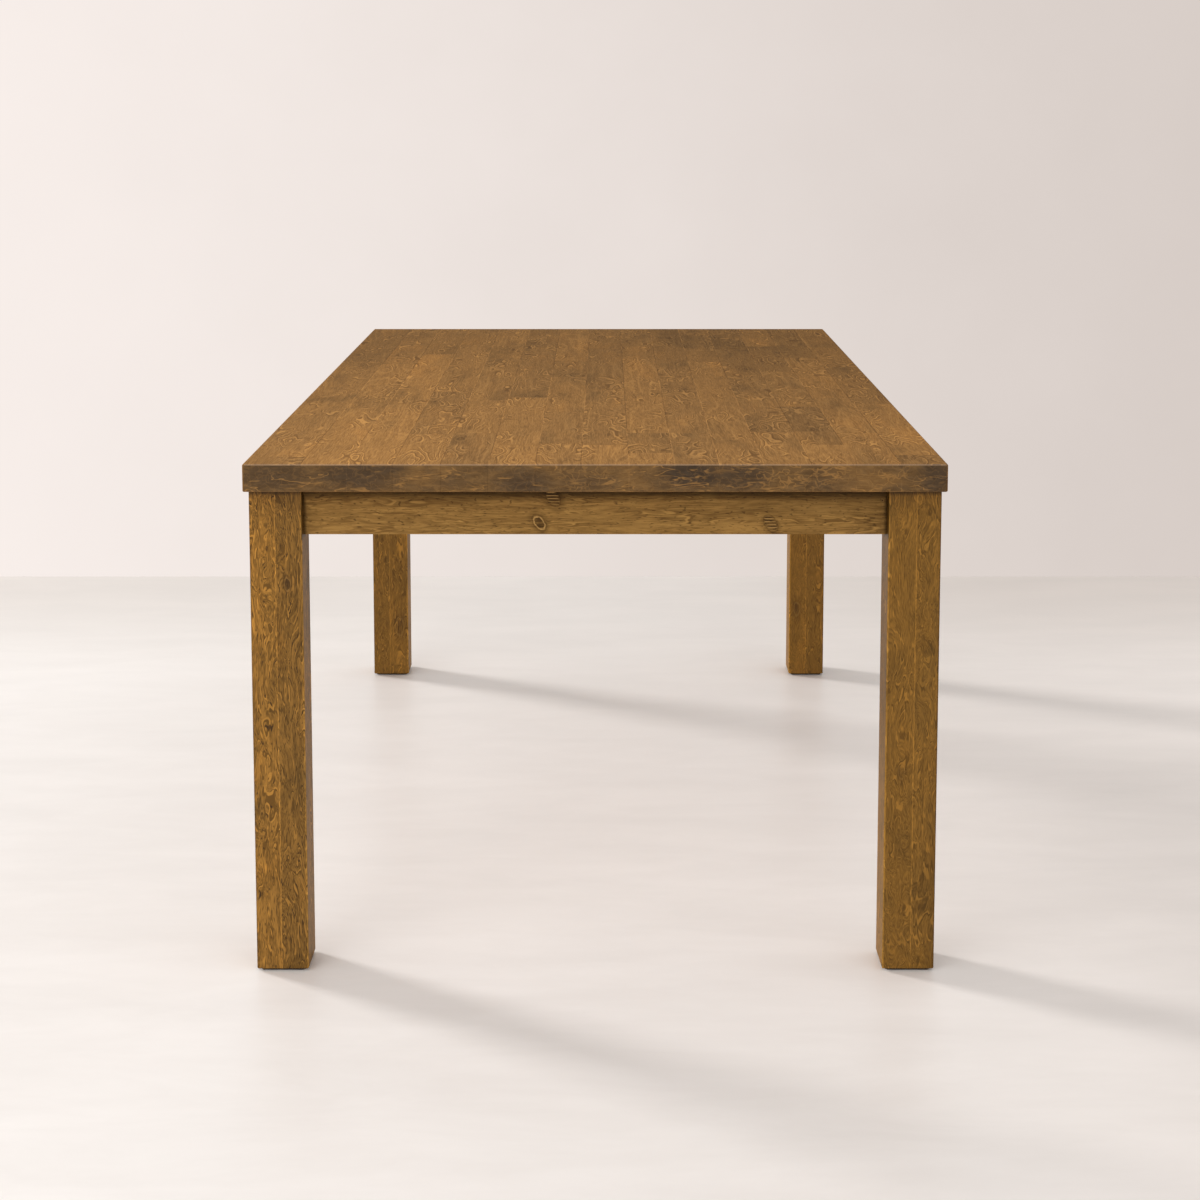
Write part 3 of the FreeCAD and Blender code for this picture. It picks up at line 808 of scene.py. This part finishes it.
# %% The wood recipe
def wood(name, order, mark, light, dark, **changes):
    """Makes a stained hardwood. Without a mark it is read from the boards' own faces."""
    look = {**plain_look, **changes}
    shade = Shade(bpy.data.materials.new(name))
    place, (across, along, depth) = in_grain_order(shade, order)
    if mark is None:
        mark, tone, seam, spots = read_board(shade)
    else:
        tone, seam, spots = mark[0], 0.0, look["spots"]
    grown = shade.vector("ADD", place, shade.vector("MULTIPLY", mark, TREE_STEPS))
    push, *knot = knots(shade, place, across, along, spots, *look["knot_form"])
    tint, line, streak, fibre, pore, light_arc = figure(shade, grown, push, look)
    colour = shade.mix(shade.fade(tint, 0.05, 1.0), dark, light)
    colour = shade.tint(shade.fade(light_arc, 0.2, 1.8), colour, ARC_LIGHT)

    wiped = shade.noise(place, *WIPED_SIZE, detail=3.0, roughness=0.60, warp=0.3)
    colour = stained(shade, colour, tone, grown, wiped, look)
    # Painted shade, where the look of the piece asks for it
    if look["pooled"]:
        colour = shade.tint(look["pooled"](shade, across, along, depth), colour, look["pool_tint"])
    ends = facing(shade, order[1])
    colour = shade.mix(ends, colour, end_grain(shade, place, across, depth, tone, dark, light))
    colour = knotted(shade, place, across, wiped, colour, pore * (1 - ends * 0.7), knot, look)
    seam, edges = seam * (1 - ends * 0.6), arris(shade)
    # Painted highlights and painted shade on the edges
    colour = edged(shade, colour, seam, wiped, *edges, look)

    height = streak * 0.5 + fibre * 0.3 + line * 0.3 + light_arc * 0.5 - pore * 1.2 - seam * 0.8
    return shade.finish(
        colour, streak * 0.14 + 0.40, height, 0.30, 0.0005,
        **{"Specular IOR Level": 0.0, "Coat Weight": edges[0] * 0.4 + look["coat"],
           "Coat Roughness": 0.30},
    )


# %% [markdown]
# Shade is painted into the colour where it would fall: along the top of a leg or an apron,
# in the corners between them, and on the table top towards its far end and its right.

# %% Where shade is painted
LEG_INNER_X, LEG_INNER_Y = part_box("leg_near_right")[0].x, -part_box("leg_near_right")[1].y


def painted_shade_on_top(shade, across, along, depth):
    """Painted shade, more towards the far end and the right."""
    return shade.fade(along, NEAR, FAR) * 0.46 + shade.fade(across, -0.2, 0.5) * 0.22


def painted_shade_on_leg(shade, across, along, depth):
    """Painted shade under the top, and on the inner faces beside the aprons."""
    beside = shade.fade(along, APRON_LOW - 8 * MM, APRON_LOW + 2 * MM) * 0.7
    return shade.most(
        shade.fade(along, UNDERSIDE - 14 * MM, UNDERSIDE - 5 * MM) * 0.8,
        shade.fade(abs(across), LEG_INNER_X + 2 * MM, LEG_INNER_X) * beside,
        shade.fade(abs(depth), LEG_INNER_Y + 2 * MM, LEG_INNER_Y) * beside,
    )


def painted_shade_on_apron(shade, across, along, legs, soft):
    """Painted shade under the top, and beside the legs."""
    return shade.most(
        shade.fade(across, UNDERSIDE - soft, UNDERSIDE - 8 * MM) * 0.88,
        shade.fade(abs(along), legs - 6 * MM, legs) * 0.8,
    )


def painted_shade_on_end_apron(shade, across, along, depth):
    """Painted shade as on every apron, and a little more to the right."""
    return painted_shade_on_apron(shade, across, along, LEG_INNER_X, 27 * MM) + shade.fade(along, -0.30, 0.05) * 0.07


def painted_shade_on_side_apron(shade, across, along, depth):
    """Painted shade as on every apron."""
    return painted_shade_on_apron(shade, across, along, LEG_INNER_Y, 30 * MM)


print("legs end inward at", round(LEG_INNER_X, 3), round(LEG_INNER_Y, 3))

# %% [markdown]
# The top's figure is broad and quiet, with long light arcs. The legs are livelier, because
# their wood curls more. One of them was cut from wood with open pores, so it has a wood of
# its own.

# %% Finish the top and the legs
TOP_LIGHT, TOP_DARK = (0.400, 0.205, 0.062, 1), (0.205, 0.098, 0.028, 1)
LEG_LIGHT, LEG_DARK = (0.297, 0.143, 0.023, 1), (0.123, 0.058, 0.008, 1)
OPEN_LIGHT, OPEN_DARK = (0.297, 0.146, 0.028, 1), (0.123, 0.059, 0.010, 1)
top_wood = wood(
    "top_wood", "XYZ", None, TOP_LIGHT, TOP_DARK,
    pores=0.4, blotch=0.50, lines=0.55, streaks=0.35, fibres=1.2, fibre_size=(0.0014, 0.030),
    arcs=1.25, arc_size=(0.034, 0.130), arc_turns=11, arc_spread=0.05, stroke_size=(0.045, 0.120),
    # A painted highlight on the upper edges, which also stands for worn stain
    coat=0.07, rimmed=0.2, worn=0.18, glue=(0.5, 0.7), knot_form=(3.0, 0.0),
    # Painted shade towards the far end and the right
    pooled=painted_shade_on_top, pool_tint=(0.40, 0.385, 0.34),
)
for stave in staves:
    stave.data.materials.append(top_wood)
leg_look = {
    "swirl": 1.9, "streaks": 0.5, "stroke_size": (0.0075, 0.020),
    "fibre_size": (0.0011, 0.014), "sway_size": (0.040, 0.14), "curl_size": (0.018, 0.040),
    "pore_size": (0.0015, 0.012), "cloud_size": (0.034, 0.095),
    "rimmed": 0.15, "coat": 0.32, "glue": (0.3, 1.2), "glue_from": 0.30,
    # Painted shade under the top and beside the aprons
    "pooled": painted_shade_on_leg,
}
leg_wood = wood(
    "leg_wood", "XZY", None, LEG_LIGHT, LEG_DARK, pores=0.4, blotch=0.45, lines=0.5, fibres=1.4,
    arcs=1.1, arc_size=(0.0080, 0.050), arc_turns=4, arc_spread=0.08, **leg_look,
)
open_wood = wood(
    "leg_wood_open_pores", "XZY", None, OPEN_LIGHT, OPEN_DARK, pores=1.5, blotch=0.7, lines=1.2, fibres=2.1,
    arcs=2.2, arc_size=(0.0095, 0.080), arc_turns=6, arc_spread=0.10, **leg_look,
)
for corner, leg in legs.items():
    leg.data.materials.append(open_wood if corner == "near_left" else leg_wood)
print("top wood has", len(top_wood.node_tree.nodes), "nodes")

# %% [markdown]
# ## Aprons
# The aprons are single boards with the grain lying along them. The near one shows three
# larger knots, two of them split, and a few tiny ones. They keep the shapes that came with
# the model, so their knots and their place in the tree are given to the material as plain
# numbers.


# %% Finish the aprons
def dress(node, material):
    """Gives a piece of the frame its material."""
    piece = nodes[node]
    piece.data.materials.clear()
    piece.data.materials.append(material)


APRON_LIGHT, APRON_DARK = (0.330, 0.186, 0.054, 1), (0.158, 0.083, 0.023, 1)
# z and x in metres, half height in metres, darkness, and 1 for whole knots or 0 for split ones
apron_knots = (
    (0.665, -0.081, 8.6 * MM, 1.0, 1), (0.702, -0.061, 9.0 * MM, 1.0, 0),
    (0.664, 0.2534, 8.5 * MM, 1.0, 0), (0.698, 0.414, 2.0 * MM, 1.0, 1),
    (0.694, 0.030, 1.3 * MM, 1.0, 1), (0.699, 0.345, 1.4 * MM, 1.0, 1),
)
for node, order, mark in (
    ("end_apron_near", "ZXY", (0.59, 0.35, 0.62)),
    ("end_apron_far", "ZXY", (0.45, 0.75, 0.22)),
    ("side_apron_left", "ZYX", (0.48, 0.15, 0.42)),
    ("side_apron_right", "ZYX", (0.48, 0.55, 0.82)),
):
    dress(node, wood(
        "wood_" + node, order, mark, APRON_LIGHT, APRON_DARK, blotch=0.25, lines=0.6,
        streaks=0.85, fibres=1.4, fibre_size=(0.0012, 0.024), pore_size=(0.0016, 0.007),
        arcs=0.9, arc_size=(0.0075, 0.080), arc_turns=5, arc_spread=0.04, coat=0.1, rimmed=0.75,
        spots=apron_knots if node == "end_apron_near" else (), knot_form=(0.75, 0.35),
        # Painted shade under the top and beside the legs
        pooled=painted_shade_on_end_apron if "end" in node else painted_shade_on_side_apron,
    ))
print("dressed", [n for n in nodes if "apron" in n])

# %% [markdown]
# ## Hidden frame and fittings
# The corner blocks and the cross rail are planed hardwood without stain. The bolts, nuts,
# washers, screws and clips are zinc plated, and the pads under the legs are black rubber.

# %% Finish the hidden pieces
ZINC_DARK, ZINC_LIGHT = (0.42, 0.43, 0.42, 1), (0.68, 0.68, 0.64, 1)
RUBBER_DARK, RUBBER_LIGHT = (0.010, 0.009, 0.008, 1), (0.030, 0.027, 0.024, 1)
RAW_LIGHT, RAW_DARK = (0.46, 0.31, 0.17, 1), (0.27, 0.165, 0.08, 1)
ZINC_BLOOM, RUBBER_GRAIN = 4 * MM, 0.8 * MM


def zinc():
    """Zinc plate: a cool grey metal with a faint cloudy bloom."""
    shade = Shade(bpy.data.materials.new("zinc_plate"))
    place = shade.node("TexCoord", out="Object")
    bloom = shade.noise(place, ZINC_BLOOM, ZINC_BLOOM, detail=3.0, roughness=0.6)
    colour = shade.mix(bloom, ZINC_DARK, ZINC_LIGHT)
    return shade.finish(colour, 0.30 + bloom * 0.2, **{"Metallic": 1.0})


def rubber():
    """Black rubber with a fine matt grain."""
    shade = Shade(bpy.data.materials.new("pad_rubber"))
    place = shade.node("TexCoord", out="Object")
    grain = shade.noise(place, RUBBER_GRAIN, RUBBER_GRAIN, roughness=0.6)
    colour = shade.mix(grain, RUBBER_DARK, RUBBER_LIGHT)
    return shade.finish(colour, 0.75 + grain * 0.1, grain, 0.3, 0.0003)


zinc_plate, pad_rubber = zinc(), rubber()
rail_wood = wood("rail_wood", "ZXY", (0.5, 0.62, 0.17), RAW_LIGHT, RAW_DARK, blotch=0.2)
block_wood = wood("block_wood", "ZXY", (0.5, 0.27, 0.77), RAW_LIGHT, RAW_DARK, blotch=0.2)
for node in nodes:
    if node.startswith("foot_pad"):
        dress(node, pad_rubber)
    elif node.startswith("corner_block_") and node != "corner_block_screws":
        dress(node, block_wood)
    elif node == "cross_rail":
        dress(node, rail_wood)
    elif not node.startswith(("top_stave", "leg_", "end_apron", "side_apron")):
        dress(node, zinc_plate)

# %% [markdown]
# ## Floor and light
# The floor is pale and slightly glossy, so that it takes a soft shadow and a faint
# reflection. Its colour holds painted shade towards the wall, the right and the far left,
# and painted light under the table. One large soft lamp stands far off to the left and a
# little behind the table, a weaker one lights its near end, and the pale surroundings fill
# the shadows.

# %% Lay the floor
FLOOR_REACH, FLOOR_LEFT, FLOOR_BACK = 12.0, 5.0, 1.79
FLOOR_DARK, FLOOR_LIGHT = (0.850, 0.803, 0.772, 1), (0.930, 0.885, 0.856, 1)
# Tints of painted shade by the wall, in its corners and to the right, painted light under the table, and
# painted shade far to the left
SHADE_BY_WALL, SHADE_BY_WALL_CORNERS, SHADE_TO_RIGHT = (0.85, 0.832, 0.818), (0.93, 0.92, 0.91), (0.955, 0.93, 0.915)
LIGHT_UNDER_TABLE, SHADE_BEYOND_LEFT = (1.07, 1.08, 1.09), (0.62, 0.61, 0.60)
start_clean()
bpy.ops.mesh.primitive_plane_add(size=1)
floor = bpy.context.object
floor.name = "floor"
bpy.ops.object.mode_set(mode="EDIT")
bpy.ops.transform.resize(value=(FLOOR_REACH + FLOOR_LEFT, FLOOR_REACH + FLOOR_BACK, 1))
bpy.ops.transform.translate(
    value=((FLOOR_REACH - FLOOR_LEFT) / 2, (FLOOR_BACK - FLOOR_REACH) / 2, 0)
)
bpy.ops.object.mode_set(mode="OBJECT")


def floor_finish():
    """Pale polished floor with faint clouds, painted shade by the wall, right and far left, painted light
    under the table.
    """
    shade = Shade(bpy.data.materials.new("pale_floor"))
    place = shade.node("TexCoord", out="Object")
    across, along, _ = shade.split(place)
    cloud = shade.noise(place, 0.42, 0.13, detail=9.0, roughness=0.68, warp=0.3)
    cloud = shade.fade(cloud, 0.15, 0.85)
    colour = shade.mix(cloud, FLOOR_DARK, FLOOR_LIGHT)
    # Painted shade towards the wall, more at its corners, and towards the right
    wall_shade = shade.fade(along, FLOOR_BACK * 0.35, FLOOR_BACK)
    colour = shade.tint(wall_shade, colour, SHADE_BY_WALL)
    colour = shade.tint(shade.fade(abs(across), 0.15, 1.1) * wall_shade, colour, SHADE_BY_WALL_CORNERS)
    colour = shade.tint(shade.fade(across, -0.1, 1.2), colour, SHADE_TO_RIGHT)
    # Painted light under the table
    middle = shade.fade(abs(across), 1.0, 0.2) * shade.fade(abs(along + 0.3), 1.1, 0.3)
    colour = shade.tint(middle, colour, LIGHT_UNDER_TABLE)
    # Painted shade far to the left, where the key lamp is near
    colour = shade.tint(shade.fade(across, -1.6, -FLOOR_LEFT), colour, SHADE_BEYOND_LEFT)
    return shade.finish(colour, 0.32 + cloud * 0.14, **{"Specular IOR Level": 0.30})


floor.data.materials.append(floor_finish())
print("floor reaches", FLOOR_REACH, "m forward and ends", FLOOR_BACK, "m behind the middle")

# %% [markdown]
# The camera sees a pale wall, light on the left and darker on the right. What the polished
# floor and the wood reflect is close to it, and the light that fills the shadows comes from
# a third background, brightest at the horizon.

# %% Fill light and backdrop
WALL_LEFT, WALL_RIGHT = (0.985, 0.905, 0.865, 1), (0.630, 0.560, 0.520, 1)
MIRRORED_LEFT, MIRRORED_RIGHT = (0.95, 0.94, 0.92, 1), (0.56, 0.57, 0.57, 1)
FILL_LEVEL, FILL_ABOVE, FILL_STRENGTH = (1.0, 0.985, 0.97, 1), (0.25, 0.247, 0.243, 1), 1.60
world = bpy.data.worlds.new("studio")
bpy.context.scene.world = world
sky = Shade(world)
direction = sky.node("TexCoord", out="Generated")
wall_cloud = sky.noise(direction, 0.09, 0.09, detail=5.0, roughness=0.6)
side = sky.fade(sky.split(direction)[0] + (wall_cloud - 0.5) * 0.12, -0.50, 0.50)
wall = sky.mix(side, WALL_LEFT, WALL_RIGHT)
seen = sky.node("LightPath", out="Is Camera Ray")
mirrored = sky.node("LightPath", out="Is Glossy Ray")
reflected = sky.mix(side, MIRRORED_LEFT, MIRRORED_RIGHT)
fill_colour = sky.mix(abs(sky.split(direction)[2]), FILL_LEVEL, FILL_ABOVE)
fill = sky.node("Background", None, {"Color": fill_colour, "Strength": FILL_STRENGTH})
mirror = sky.node("Background", None, {"Color": reflected, "Strength": 1.0})
backdrop = sky.node("Background", None, {"Color": wall, "Strength": 1.0})
unseen = sky.node("MixShader", None, {0: mirrored, 1: fill, 2: mirror})
sky.show(sky.node("MixShader", None, {0: seen, 1: unseen, 2: backdrop}), "OutputWorld")


# %% Hang the lamps
def lamp(name, place, aim, size, watts):
    """A square area lamp that faces a point and stays out of the picture itself."""
    light = bpy.data.lights.new(name, "AREA")
    light.size, light.energy, light.color = size, watts, WARM_WHITE
    holder = bpy.data.objects.new(name, light)
    bpy.context.scene.collection.objects.link(holder)
    holder.location = place
    holder.rotation_euler = (Vector(aim) - Vector(place)).to_track_quat("-Z", "Y").to_euler()
    holder.visible_camera = False
    holder.visible_glossy = False
    return holder


WARM_WHITE = (1.0, 0.985, 0.97)
KEY_PLACE, KEY_AIM, KEY_SIZE, KEY_WATTS = (-11.2, 6.6, 5.0), (0, 0, 0.3), 2.6, 1300
NEAR_PLACE, NEAR_AIM, NEAR_SIZE, NEAR_WATTS = (-1.6, -2.9, 2.5), (0, -0.8, 0.6), 1.6, 15
lamp("key", KEY_PLACE, KEY_AIM, KEY_SIZE, KEY_WATTS)
lamp("near_fill", NEAR_PLACE, NEAR_AIM, NEAR_SIZE, NEAR_WATTS)

# %% [markdown]
# ## Camera
# The camera stands square to the near end of the table, a little above it, and looks
# slightly down. A moderate downward shift frames the legs and keeps them nearly upright. Its
# place, tip and focal length were fitted to the corners of the top and the feet of the legs.

# %% Place the camera
SENSOR, PIXELS = 36.0, 1200
FOCAL_PIXELS, CENTRE_PIXEL = 2198, (604.9, 347.5)
CAMERA_PLACE, CAMERA_TIP = (0.0139, -3.9684, 1.2806), 6.589
camera_data = bpy.data.cameras.new("camera")
camera = bpy.data.objects.new("camera", camera_data)
bpy.context.scene.collection.objects.link(camera)
camera.location = CAMERA_PLACE
camera.rotation_euler = (math.radians(90 - CAMERA_TIP), 0, 0)
camera_data.sensor_width = SENSOR
camera_data.lens = SENSOR * FOCAL_PIXELS / PIXELS
camera_data.shift_x = (PIXELS / 2 - CENTRE_PIXEL[0]) / PIXELS
camera_data.shift_y = (CENTRE_PIXEL[1] - PIXELS / 2) / PIXELS
bpy.context.scene.camera = camera
bpy.context.scene.view_settings.view_transform = "Standard"
print("lens", round(camera_data.lens, 2), "shift", round(camera_data.shift_y, 3))
